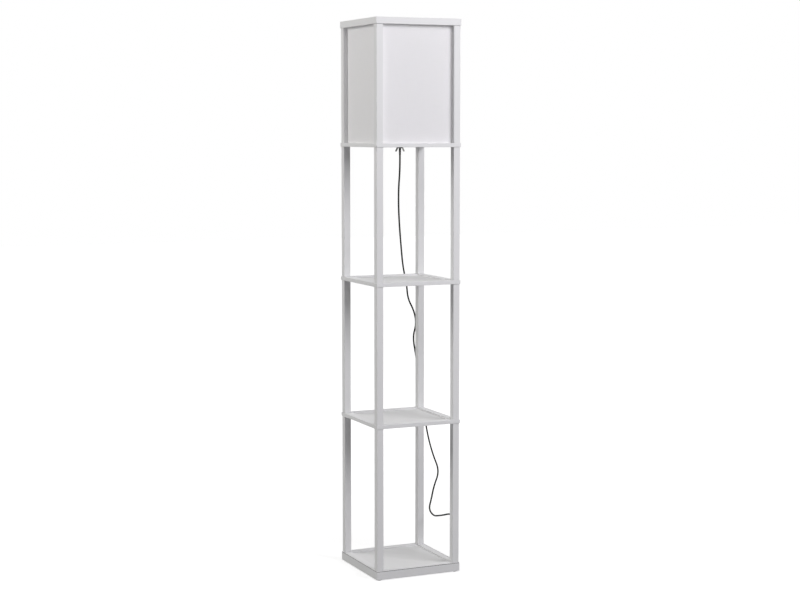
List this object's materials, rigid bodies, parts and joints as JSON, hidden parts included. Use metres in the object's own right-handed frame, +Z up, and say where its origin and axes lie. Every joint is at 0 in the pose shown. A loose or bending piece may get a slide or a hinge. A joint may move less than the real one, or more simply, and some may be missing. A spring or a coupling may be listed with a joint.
{
  "type": "shelf floor lamp",
  "caption": "Square open tower of posts and shelves with a shaded lamp section at the top, a supply cord with an in-line rocker switch, and a plug.",
  "frame": {"origin": "on the floor, under the middle of the base", "axes": "+Z up the posts, -Y the front face, +X to the right seen from the front"},
  "size_m": [0.3235, 0.3203, 1.601],
  "materials": {
    "lacquered_wood": "satin white lacquer",
    "lacquered_panel": "satin white lacquer on fibreboard",
    "shade_sheet": "matt, linen texture",
    "pad_felt": "felt",
    "zinc_steel": "zinc plated",
    "spring_steel": "rolled strip",
    "holder_plastic": "moulded",
    "contact_metal": "stamped",
    "opal_globe": "opal",
    "bulb_plastic": "satin",
    "cap_metal": "rolled thread",
    "black_pvc": "moulded, soft",
    "cord_jacket": "extruded, soft",
    "tie_strap": "strap",
    "switch_plastic": "moulded"
  },
  "bodies": {
    "lamp": {"base_apron": "lacquered_wood", "base_board_frame": "lacquered_wood", "base_board_panel": "lacquered_panel", "base_screws": "zinc_steel", "cord_hank": "cord_jacket", "cord_lower": "cord_jacket", "cord_relief": "black_pvc", "cord_tail": "cord_jacket", "cord_upper": "cord_jacket", "foot_pad_front_left": "pad_felt", "foot_pad_front_right": "pad_felt", "foot_pad_rear_left": "pad_felt", "foot_pad_rear_right": "pad_felt", "hank_tie": "tie_strap", "holder_spring_bracket": "spring_steel", "lamp_deck_frame": "lacquered_wood", "lamp_deck_panel": "lacquered_panel", "lamp_post_front_left": "lacquered_wood", "lamp_post_front_right": "lacquered_wood", "lamp_post_rear_left": "lacquered_wood", "lamp_post_rear_right": "lacquered_wood", "lampholder_cap": "holder_plastic", "lampholder_contact": "contact_metal", "lampholder_shell": "holder_plastic", "lower_post_front_left": "lacquered_wood", "lower_post_front_right": "lacquered_wood", "lower_post_rear_left": "lacquered_wood", "lower_post_rear_right": "lacquered_wood", "lower_shelf_frame": "lacquered_wood", "lower_shelf_panel": "lacquered_panel", "middle_post_front_left": "lacquered_wood", "middle_post_front_right": "lacquered_wood", "middle_post_rear_left": "lacquered_wood", "middle_post_rear_right": "lacquered_wood", "plug_blades": "contact_metal", "plug_body": "black_pvc", "plug_boot": "black_pvc", "shade_panel_front": "shade_sheet", "shade_panel_left": "shade_sheet", "shade_panel_rear": "shade_sheet", "shade_panel_right": "shade_sheet", "switch_lower_case": "switch_plastic", "switch_screws": "zinc_steel", "switch_upper_case": "switch_plastic", "tier_studs": "zinc_steel", "top_frame": "lacquered_wood", "top_studs": "zinc_steel", "upper_post_front_left": "lacquered_wood", "upper_post_front_right": "lacquered_wood", "upper_post_rear_left": "lacquered_wood", "upper_post_rear_right": "lacquered_wood", "upper_shelf_frame": "lacquered_wood", "upper_shelf_panel": "lacquered_panel"},
    "switch_rocker": {"switch_rocker": "switch_plastic"},
    "bulb": {"bulb_globe": "opal_globe", "bulb_housing": "bulb_plastic", "bulb_screw_cap": "cap_metal", "bulb_tip": "contact_metal"}
  },
  "joints": [
    {"name": "rocker_tilt", "type": "hinge", "parent": "lamp", "child": "switch_rocker", "pos_m": [0.148, -0.006, 0.0083], "axis": [1, 0, 0], "range_deg": [0, 14]},
    {"name": "bulb_lift", "type": "slide", "parent": "lamp", "child": "bulb", "axis": [0, 0, 1], "range_m": [0, 0.34]}
  ]
}
